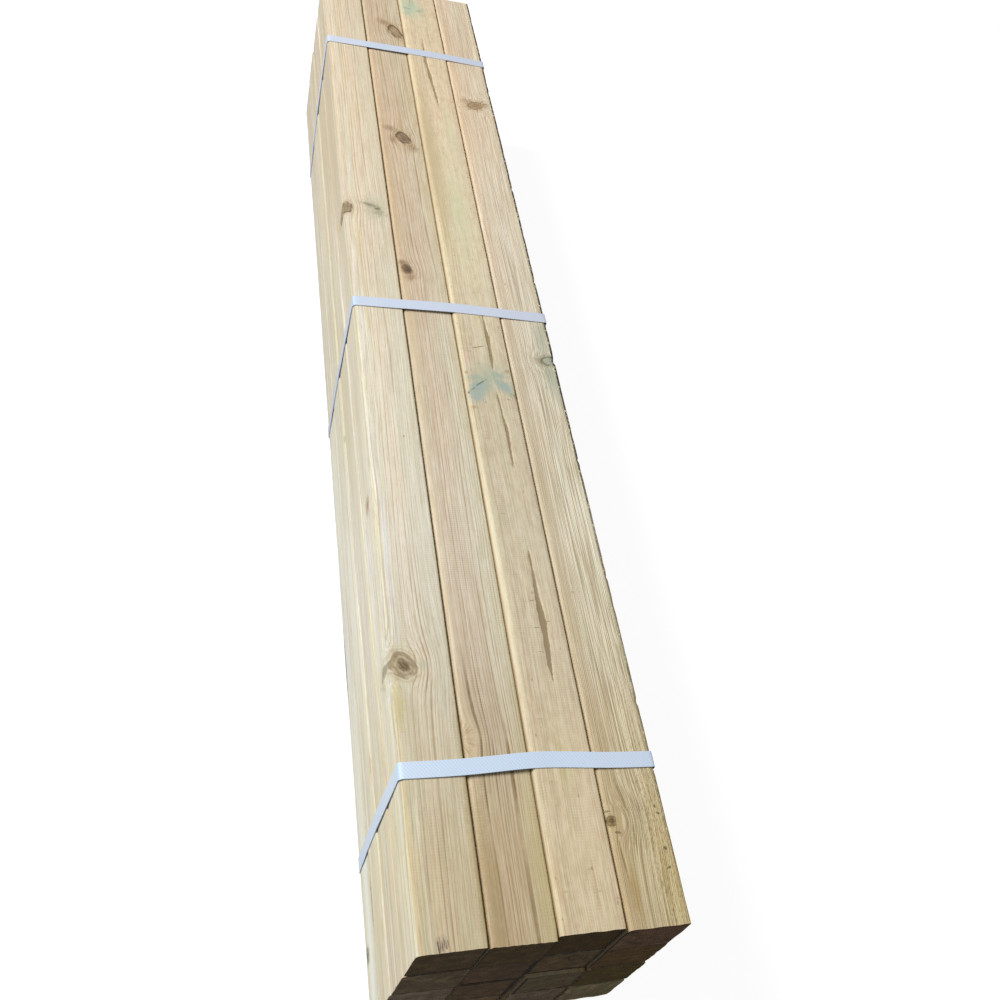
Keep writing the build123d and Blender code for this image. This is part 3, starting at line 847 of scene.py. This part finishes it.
    def tone_down(self):
        """Tone along the bundle, partly painted shade, and painted shade on the arrises, down the
        right edge and where studs touch.
        """
        # The tone is partly the wood's own colour and partly painted shade: darker at the near
        # end, and on the left side darker towards the far end.
        share = {"Fac": self.along / STUD_LENGTH}
        tone = self.node("ShaderNodeValToRGB", {"stops": self.timber.tone or TONE}, share)
        if self.column == 1:
            side_tone = self.node("ShaderNodeValToRGB", {"stops": SIDE_TONE}, share)
            tone = self.blend(self.ease(self.facing[0], -0.50, -0.85), tone, side_tone)
        self.colour = self.vector("MULTIPLY", self.colour, tone)
        bend = self.facing[0] * self.facing[2]
        # Painted shade: the arris factor dims the rounded arrises that face up and to the left,
        # towards the lamp, where they would catch a bright highlight, and those that face down and
        # to the right.
        arris_shade = self.ease(bend, -0.10, -0.42)
        self.colour = self.factor(self.colour, arris_shade, (*self.timber.arris, 1))
        if self.column < 4:
            # Painted shade: the arrises that face up and to the right, or down and to the left,
            # lie in shade, and a warm brown tint is painted on them.
            brown = self.ease(bend, 0.06, 0.38)
            self.colour = self.factor(self.colour, brown, (1.05, 0.94, 0.72, 1))
        if self.column == 4:
            # Painted shade: a dark line down the right edge of the top right stud, whose right
            # side lies in shade. It fades in over the first 750 mm from the near end and is broken
            # here and there.
            shaded_edge_along = self.follow(self.along, [(0, 0.0), (60, 0.05), (120, 0.45), (400, 0.5),
                                            (600, 0.85), (750, 1.0), (1800, 1.0)])
            broken = self.ease(self.grit, 0.66, 0.56) * self.ease(self.height, 30, 33)
            rim = self.ease(self.across, self.half.x - 4.9, self.half.x - 4.0) * shaded_edge_along * broken
            self.cover(rim * 0.92, (50, 48, 36))
        left_gap, right_gap, top_gap, base_gap = self.timber.gaps
        sides = (
            (self.column > 1, self.across * -1.0, self.half.x, (146, 124, 90), left_gap),
            (self.column < 4, self.across, self.half.x + 0.9, (172, 148, 108), right_gap + 0.9),
            (self.layer > 1, self.height, self.half.z, (84, 66, 44), top_gap),
            (self.layer < 4, self.height * -1.0, self.half.z, (64, 50, 34), base_gap),
        )
        self.touching = [side[1:] for side in sides if side[0]]
        # Painted shade where the studs touch: a faint wide band and a darker narrow one along
        # every covered edge.
        for reading, edge, seam_shade, _ in self.touching:
            self.wash(reading, edge - 3.6, edge - 0.8, 0.22, seam_shade)
            self.wash(reading, edge - 1.5, edge - 0.3, 0.80, seam_shade)

    def draw_ends(self):
        """Sawn ends: the same rings, darker and greyer, partly their own colour and partly painted
        shade, with drying cracks, saw marks and painted shade in the seams between studs.
        """
        # The end tint is partly the end grain's own darker colour and partly painted shade.
        tint = self.timber.end_tint
        self.on_end = self.ease(self.maths("ABSOLUTE", self.facing[1]), 0.6, 0.8)
        darker = paint(*(0.70 * part for part in tint))
        lighter = paint(*(1.12 * part + 8.0 for part in tint))
        cut = self.blend(self.late * 0.6 + self.fibres * 0.2, paint(*tint), darker)
        blotch = self.cloud(self.loose, (13, 13, 13), 2.0)
        cut = self.blend(self.ease(blotch, 0.50, 0.70) * 0.7, cut, lighter)
        cut = self.blend(self.ease(blotch, 0.50, 0.34) * 0.6, cut, darker)
        stroke = (self.across * 0.8 + self.height * 0.6) * 2.1
        saw = self.maths("SINE", stroke + self.patches * 5.0)
        cut = self.blend(self.ease(saw, 0.2, 1.0) * 0.25, cut, darker)
        pith_x, _, pith_z = self.about_pith
        rays = self.rays(pith_x, pith_z, self.radius / 60.0, 9.0)
        split = self.maths("ABSOLUTE", rays - 0.5)
        crack = self.ease(split, 0.022, 0.004) * self.ease(self.patches, 0.46, 0.60)
        cut = self.blend(crack * 0.8, cut, paint(54, 42, 32))
        uneven = (self.grit - 0.5) * 2.4
        # Painted shade: near-black seams round the end face wherever another stud lies beside it,
        # as wide as the timber's gaps say.
        for reading, edge, _, gap in self.touching:
            seam = self.ease(reading + uneven, edge - gap - 0.4, edge - gap * 0.75)
            cut = self.blend(seam * 0.97, cut, paint(9, 7, 5))
        self.colour = self.blend(self.on_end, self.colour, cut)
        self.relief = self.relief + self.on_end * (saw * 0.4 + self.fibres - self.relief)


def deselect():
    if bpy.context.object and bpy.context.object.mode != "OBJECT":
        bpy.ops.object.mode_set(mode="OBJECT")
    bpy.ops.object.select_all(action="DESELECT")


def choose(piece, kind, wanted):
    """Leaves a piece in edit mode with just the edges or faces selected that are wanted."""
    bpy.ops.object.mode_set(mode="EDIT")
    bpy.ops.mesh.select_mode(type=kind)
    bpy.ops.mesh.select_all(action="DESELECT")
    bpy.ops.object.mode_set(mode="OBJECT")
    mesh = piece.data
    if kind == "EDGE":
        for edge in mesh.edges:
            start, end = (mesh.vertices[index].co for index in edge.vertices)
            edge.select = wanted(start, end)
    else:
        for face in mesh.polygons:
            face.select = wanted(face.normal)
    bpy.ops.object.mode_set(mode="EDIT")


def runs_along(start, end):
    """Whether an edge runs along the bundle."""
    return abs(start.y - end.y) > 0.9 * (start - end).length


def add_block(name, low, high):
    """A cube at its size and place, with its place in its mesh."""
    deselect()
    bpy.ops.mesh.primitive_cube_add(size=1, location=(low + high) / 2, scale=high - low)
    block = bpy.context.object
    block.name = name
    bpy.ops.object.transform_apply(location=True, rotation=True, scale=True)
    return block


def ease_corners(block, round_cuts, broken_cuts):
    """Rounds the long corners of a block, widely at the upper left and barely elsewhere."""
    for right, up in CORNERS:
        def is_corner(start, end):
            return (runs_along(start, end)
                    and abs(start.x - centre.x - right * half.x) < MM * 0.01
                    and abs(start.z - centre.z - up * half.z) < MM * 0.01)
        corners = [Vector(corner) for corner in block.bound_box]
        centre = (corners[0] + corners[6]) / 2
        half = (corners[6] - corners[0]) / 2
        choose(block, "EDGE", is_corner)
        radius, cuts = BROKEN_ARRIS, broken_cuts
        if (right, up) == UPPER_LEFT:
            radius, cuts = ROUND_ARRIS, round_cuts
        bpy.ops.mesh.bevel(offset=radius * MM, affect="EDGES", segments=cuts)
    bpy.ops.object.mode_set(mode="OBJECT")


def model_stud(kind):
    """One stud of a kind, lying along Y from the origin, ready to be copied."""
    cells_across, cells_up, *cuts_along = FINENESS[kind]
    half = Vector((STUD_WIDTH, 0, STUD_HEIGHT)) * MM / 2
    stud = add_block(f"stud_of_{kind}", -half, half + Vector((0, STUD_LENGTH * MM, 0)))
    ease_corners(stud, round_cuts=5, broken_cuts=3)
    bpy.ops.object.mode_set(mode="EDIT")
    for normal, size, cells, first, last in (
        ((1, 0, 0), half.x, cells_across, ROUND_ARRIS, BROKEN_ARRIS),
        ((0, 0, 1), half.z, cells_up, BROKEN_ARRIS, ROUND_ARRIS),
    ):
        for place in np.linspace(first * MM - size, size - last * MM, cells + 1):
            bpy.ops.mesh.select_all(action="SELECT")
            bpy.ops.mesh.bisect(plane_co=Vector(normal) * place, plane_no=normal)
    for cuts in cuts_along:
        choose(stud, "EDGE", runs_along)
        bpy.ops.mesh.subdivide(number_cuts=cuts)
    bpy.ops.object.mode_set(mode="OBJECT")
    return stud


def places_of(piece):
    """Where the vertices of a piece are, one to a row."""
    places = np.empty(len(piece.data.vertices) * 3)
    piece.data.vertices.foreach_get("co", places)
    return places.reshape(-1, 3)


def move_to(piece, places):
    piece.data.vertices.foreach_set("co", places.ravel())
    piece.data.update()


def copy_of(master, name):
    deselect()
    master.select_set(True)
    bpy.context.view_layer.objects.active = master
    bpy.ops.object.duplicate()
    copy = bpy.context.object
    copy.name = name
    return copy


def ripple(place, seed, size):
    """A smooth, never repeating wave between about -1 and 1, of about that length."""
    dice = random.Random(seed)
    wave = np.zeros_like(place)
    for weight in (0.5, 0.3, 0.2):
        length = size * dice.uniform(0.35, 1.6)
        wave += weight * np.sin(2 * math.pi * (place / length + dice.random()))
    return wave


def carve(stud, name, timber, low, high):
    """Wears and cuts a stud, always inwards, so that it stays within its solid."""
    place = places_of(stud)
    centre = np.array(((low.x + high.x) / 2, low.y, (low.z + high.z) / 2))
    half = np.array(((high.x - low.x) / 2, 0, (high.z - low.z) / 2)) / MM
    local = (place - centre) / MM
    across, along, height = local.T.copy()
    move = np.zeros_like(local)

    layer, column = layer_and_column(name)
    covered = {(0, -1): column > 1, (0, 1): column < 4, (2, -1): layer < 4, (2, 1): layer > 1}
    for right, up in CORNERS:
        seed = f"{name}{right}{up}"
        reach = np.hypot(across - right * half[0], height - up * half[2])
        wear = 0.25 + 0.35 * np.maximum(ripple(along, seed, 190), 0)
        wear += 1.1 * np.maximum(ripple(along, seed + "b", 47) - 0.45, 0)
        if covered[0, right]:
            wear *= 0.4
        elif right == 1:
            wear += 0.5
        amount = wear * np.exp(-((reach / 5.0) ** 2))
        move[:, 0] -= right * amount * 0.7
        move[:, 2] -= up * amount * 0.7
    parted = np.exp(-along / 22.0)
    for (axis, sign), hidden in covered.items():
        offset = sign * local[:, axis] - half[axis]
        on_face = np.clip(1 + offset / 3.0, 0, 1)
        other = local[:, 2 - axis]
        depth = 0.10 + 0.10 * ripple(along, f"{name}{axis}{sign}", 260) * ripple(other, name, 60)
        if hidden:
            depth += parted * random.Random(f"{name}{axis}{sign}").uniform(0.35, 0.95)
        if hidden and axis == 0 and layer == 1:
            pressed = np.clip((height - half[2] + 14) / 8, 0, 1) * (1 - parted)
            depth -= pressed * (depth + 0.2)
        move[:, axis] -= sign * on_face * depth
    for where, length, depth in timber.nicks:
        reach = np.hypot((across - half[0]) / 4.0, (height - half[2]) / 5.0)
        amount = depth * np.exp(-(reach**2) - ((along - where) / length * 2) ** 2)
        move[:, 0] -= amount
        move[:, 2] -= amount * 0.4
    for level, length, depth in timber.hollows:
        on_face = np.clip(1 + (height - level) / 12.0, 0, 1)
        slope = np.clip(1 - along / length, 0, 1)
        move[:, 2] -= on_face * depth * slope * (0.75 + 0.25 * across / half[0])
    for table in timber.streaks:
        where, middle, width = np.array(table, float).T
        inside = np.interp(along, where, width, 0, 0) + 0.4
        offset = np.abs(across - np.interp(along, where, middle))
        groove = np.clip(1.6 - offset / inside, 0, 1) * (inside > 0.5) * (height > half[2] - 1)
        move[:, 2] -= 0.7 * groove
    for knot in timber.knots:
        gap = (local - np.array(knot.place)) / (knot.radius, knot.radius * knot.stretch, 14)
        reach = np.linalg.norm(gap, axis=1)
        dish = 0.30 * np.exp(-((reach / 1.2) ** 2)) + 0.25 * np.exp(-(((reach - 1) / 0.25) ** 2))
        if abs(knot.place[2]) > 30:
            move[:, 2] -= np.where(height > half[2] - 2, dish, 0)
        else:
            move[:, 0] += np.where(across < 2 - half[0], dish, 0)
    for end, sign in ((0.0, 1), (STUD_LENGTH, -1)):
        on_end = np.clip(1 - np.abs(along - end) / 0.5, 0, 1)
        rough = 0.35 + 0.35 * ripple(across + 0.6 * height, f"{name}{end}", 21)
        skew = random.Random(f"{name}{end}").uniform(-1, 1) * across / half[0]
        move[:, 1] += sign * on_end * (rough + 0.5 * (1 + skew))

    move_to(stud, (local + move) * MM + centre)


def kind_of(layer, column):
    if layer == 1:
        return "top"
    if column in (1, 4):
        return "side"
    return "base" if layer == 4 else "core"


def place_stud(name, masters):
    """A copy of the right stud, fitted to its CAD node and carved."""
    low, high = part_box(name)
    stud = copy_of(masters[kind_of(*layer_and_column(name))], f"pine_{name}")
    stud.location = ((low.x + high.x) / 2, low.y, (low.z + high.z) / 2)
    stud.scale = (1, 1, (high.z - low.z) / (STUD_HEIGHT * MM))
    bpy.ops.object.transform_apply(location=True, rotation=True, scale=True)
    timber = TIMBERS[name]
    carve(stud, name, timber, low, high)
    bpy.ops.object.shade_smooth_by_angle(angle=SMOOTH_ANGLE)
    stud.data.materials.append(Pine(name, timber, low, high).material)
    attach(stud, "root")
    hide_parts(name)


def hull_of_studs():
    """The corners of the tightest line round the ends of the studs, seen from the near end."""
    corners = set()
    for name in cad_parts:
        if name.startswith("stud"):
            low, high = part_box(name)
            corners |= {(x, z) for x in (low.x, high.x) for z in (low.z, high.z)}
    chains = []
    for order in (sorted(corners), sorted(corners, reverse=True)):
        chain = []
        for corner in order:
            while len(chain) > 1 and turns_right(chain[-2], chain[-1], corner):
                chain.pop()
            chain.append(corner)
        chains.append(chain)
    return chains[0][:-1] + chains[1][:-1]


def turns_right(first, second, third):
    one = Vector(second) - Vector(first)
    two = Vector(third) - Vector(second)
    return one.x * two.y - one.y * two.x <= 0


def side_of_hull(hull, side):
    """One side of the hull as a table: where along it, and how far out it stands."""
    axis = 0 if side in ("left", "right") else 1
    sign = -1 if side in ("left", "bottom") else 1
    most = max(sign * corner[axis] for corner in hull)
    rows = [(corner[1 - axis], corner[axis]) for corner in hull
            if sign * corner[axis] > most - 5 * MM]
    return np.array(sorted(rows)).T


def fit_to_hull(piece, hull, low, high):
    """Moves the sides of a square band onto the tight line round the studs."""
    place = places_of(piece)
    x, z = place[:, 0].copy(), place[:, 2].copy()
    near = 12 * MM
    for side, axis, edge in (("left", 0, low.x), ("right", 0, high.x),
                             ("bottom", 2, low.z), ("top", 2, high.z)):
        where, out = side_of_hull(hull, side)
        along_side = z if axis == 0 else x
        limit = out.min() if side in ("left", "bottom") else out.max()
        weight = np.clip(1 - np.abs((x if axis == 0 else z) - edge) / near, 0, 1)
        place[:, axis] += weight * (np.interp(along_side, where, out) - limit)
    move_to(piece, place)


def model_strap(hull):
    """A strap, straight across the bundle at the middle of its length."""
    xs, zs = zip(*hull)
    slack = STRAP_CLEARANCE * MM
    half = Vector((0, STRAP_WIDTH * MM / 2, 0))
    low = Vector((min(xs) - slack, 0, min(zs) - slack)) - half
    high = Vector((max(xs) + slack, 0, max(zs) + slack)) + half
    strap = add_block("band", low, high)
    choose(strap, "FACE", lambda normal: abs(normal.y) > 0.5)
    bpy.ops.mesh.delete(type="ONLY_FACE")
    ease_corners(strap, round_cuts=6, broken_cuts=4)
    choose(strap, "EDGE", lambda start, end: (start - end).length > 50 * MM)
    bpy.ops.mesh.subdivide(number_cuts=STRAP_CUTS[0])
    choose(strap, "EDGE", runs_along)
    bpy.ops.mesh.subdivide(number_cuts=STRAP_CUTS[1])
    bpy.ops.object.mode_set(mode="OBJECT")
    fit_to_hull(strap, hull, low, high)
    finish_sheet(strap)
    weld_lap(strap, hull, max(zs) - LAP_DROP * MM)
    bpy.ops.object.shade_smooth_by_angle(angle=SMOOTH_ANGLE)
    return strap


def weld_lap(strap, hull, level):
    """Adds the lap, where the strap's ends are welded one on the other, pressed in fine rows."""
    where, out = side_of_hull(hull, "right")
    stud_face = float(np.interp(level, where, out))
    inner = stud_face + (STRAP_CLEARANCE + STRAP_THICKNESS) * MM
    size = Vector((STRAP_THICKNESS, STRAP_WIDTH, LAP_LENGTH)) * MM
    corner = Vector((inner, -size.y / 2, level - size.z / 2))
    lap = add_block("lap", corner, corner + size)
    choose(lap, "FACE", lambda normal: True)
    for place in np.linspace(-0.5, 0.5, LAP_ROWS + 1)[1:-1]:
        bpy.ops.mesh.select_all(action="SELECT")
        bpy.ops.mesh.bisect(plane_co=(0, 0, level + place * size.z), plane_no=(0, 0, 1))
    bpy.ops.object.mode_set(mode="OBJECT")
    for vertex in lap.data.vertices:
        offset = (vertex.co.z - level) / size.z
        outside = vertex.co.x > inner + 0.1 * MM
        pressed = LAP_PRESS * MM if outside and 0.12 < abs(offset) < 0.4 else 0
        row = int((offset + 0.5) * LAP_ROWS + 0.5) % 2
        lean = float(np.interp(vertex.co.z, where, out)) - stud_face
        vertex.co.x += lean - pressed * row
    strap.select_set(True)
    bpy.context.view_layer.objects.active = strap
    bpy.ops.object.join()


def finish_sheet(strap):
    """Gives the band its thickness, outwards, and takes the sharpness off its rims."""
    wall = strap.modifiers.new("wall", "SOLIDIFY")
    wall.thickness = STRAP_THICKNESS * MM
    wall.offset = 1
    rim = strap.modifiers.new("rim", "BEVEL")
    rim.width = 0.2 * MM
    rim.segments = 1
    rim.limit_method = "ANGLE"
    rim.angle_limit = math.radians(60)
    for modifier in ("wall", "rim"):
        bpy.ops.object.modifier_apply(modifier=modifier)


def place_strap(name, master, material):
    """A copy of the strap, askew as its CAD node is, and a little bowed."""
    low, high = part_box(name)
    strap = copy_of(master, f"band_{name}")
    place = places_of(strap)
    run = (place[:, 0] - place[:, 2]) / MM
    askew = place[:, 0] * math.tan(math.radians(ASKEW[name]))
    most, middle, width, aside = BOW[name]
    on_top = np.clip((place[:, 2] / MM - 120) / 150, 0, 1)
    bow = aside + most * np.exp(-(((place[:, 0] / MM - middle) / width) ** 2))
    bow = bow * on_top + 0.4 * ripple(run, name, 330)
    place[:, 1] += (low.y + high.y) / 2 + askew + bow * MM
    move_to(strap, place)
    strap.data.materials.append(material)
    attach(strap, "root")
    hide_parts(name)


def make_strap_plastic():
    """White polypropylene with a blue cast, embossed with fine crossing ribs, and painted shade on
    its runs down the left side and on its fold over the upper-left corner.
    """
    finish = Finish("white_strap_plastic")
    point = finish.inside(finish.place, (0, 0, 0), (MM, MM, MM))
    x, y, z = finish.parts(point)
    run = x - z
    one_way = finish.maths("SINE", (run + y * RIB_SLANT) * RIB_RATE)
    other_way = finish.maths("SINE", (run - y * RIB_SLANT) * RIB_RATE)
    lattice = finish.maths("MAXIMUM", one_way, other_way * 0.6)
    cast = finish.cloud(point, (120, 300, 120), 2.0)
    cast = finish.ease(cast, 0.35, 0.65)
    clean = finish.blend(cast, paint(213, 230, 249), paint(219, 234, 252))
    dusty = finish.blend(cast, paint(197, 208, 223), paint(204, 211, 225))
    older = finish.ease(y, -520, -120)
    facing = finish.read_facing()
    # Painted shade: the runs that face left, down the side of the bundle, are darker, the middle
    # and far straps more so.
    side = finish.blend(older, paint(229, 229, 225), paint(212, 210, 208))
    on_side = finish.ease(facing[0], -0.5, -0.85)
    colour = finish.factor(finish.blend(older, clean, dusty), on_side, side)
    # Painted shade: the fold over the upper-left corner faces the lamp and is dimmed.
    bend = finish.ease(facing[0] * facing[2], -0.10, -0.42)
    colour = finish.factor(colour, bend, paint(232, 243, 251))
    ribs = finish.ease(lattice, 0.2, 0.9) * (0.34 - older * 0.08)
    colour = finish.blend(ribs, colour, paint(176, 192, 226))
    scuff = finish.cloud(point, (2.0, 9.0, 2.0), 3.0)
    colour = finish.blend(finish.ease(scuff, 0.62, 0.80) * 0.3, colour, paint(240, 243, 250))
    finish.feed("Base Color", colour)
    finish.feed("Roughness", 0.46 + scuff * 0.16)
    finish.bump(lattice * 0.5 + scuff * 0.4, 0.07)
    return finish.material


masters = {kind: model_stud(kind) for kind in FINENESS}
for name in sorted(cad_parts):
    if name.startswith("stud"):
        place_stud(name, masters)

master_strap = model_strap(hull_of_studs())
strap_plastic = make_strap_plastic()
for name in ASKEW:
    place_strap(name, master_strap, strap_plastic)

deselect()
for master in (*masters.values(), master_strap):
    master.select_set(True)
bpy.ops.object.delete()

# The floor and the light
deselect()
bpy.ops.mesh.primitive_plane_add(size=FLOOR_SIZE, location=(0, 0, 0))
floor = bpy.context.object
floor.name = "floor"
ground = Finish("pale_floor")
seen = 0.0
for ray in ("Is Camera Ray", "Is Glossy Ray", "Is Transmission Ray"):
    seen = ground.maths("MAXIMUM", seen, ground.node("ShaderNodeLightPath", output=ray))
glow = (FLOOR_GLOW, FLOOR_GLOW, FLOOR_GLOW, 1)
ground.feed("Base Color", ground.blend(seen, paint(126, 124, 121), paint(152, 152, 152)))
ground.feed("Emission Color", ground.blend(seen, (0, 0, 0, 1), glow))
ground.feed("Emission Strength", 1.0)
ground.feed("Roughness", 0.9)
floor.data.materials.append(ground.material)

world = bpy.context.scene.world or bpy.data.worlds.new("studio")
bpy.context.scene.world = world
world.use_nodes = True
sky = world.node_tree.nodes["Background"].inputs
sky["Color"].default_value = WHITE
sky["Strength"].default_value = SKY_STRENGTH

bpy.ops.object.light_add(type="AREA", location=KEY_PLACE)
key = bpy.context.object
key.data.size = KEY_SIZE
key.data.energy = KEY_WATTS
key.rotation_euler = (Vector(KEY_TARGET) - key.location).to_track_quat("-Z", "Y").to_euler()

bpy.ops.object.camera_add(location=CAMERA_PLACE)
camera = bpy.context.object
look = Vector(CAMERA_LOOK)
to_right = look.cross(Vector(CAMERA_UP)).normalized()
upwards = to_right.cross(look).normalized()
camera.matrix_world = Matrix.Translation(camera.location) @ Matrix(
    (to_right, upwards, -look.normalized())
).transposed().to_4x4()
camera.data.sensor_width = SENSOR
camera.data.lens = LENS
camera.data.shift_x, camera.data.shift_y = SHIFT
bpy.context.scene.camera = camera
bpy.context.scene.view_settings.view_transform = "Standard"
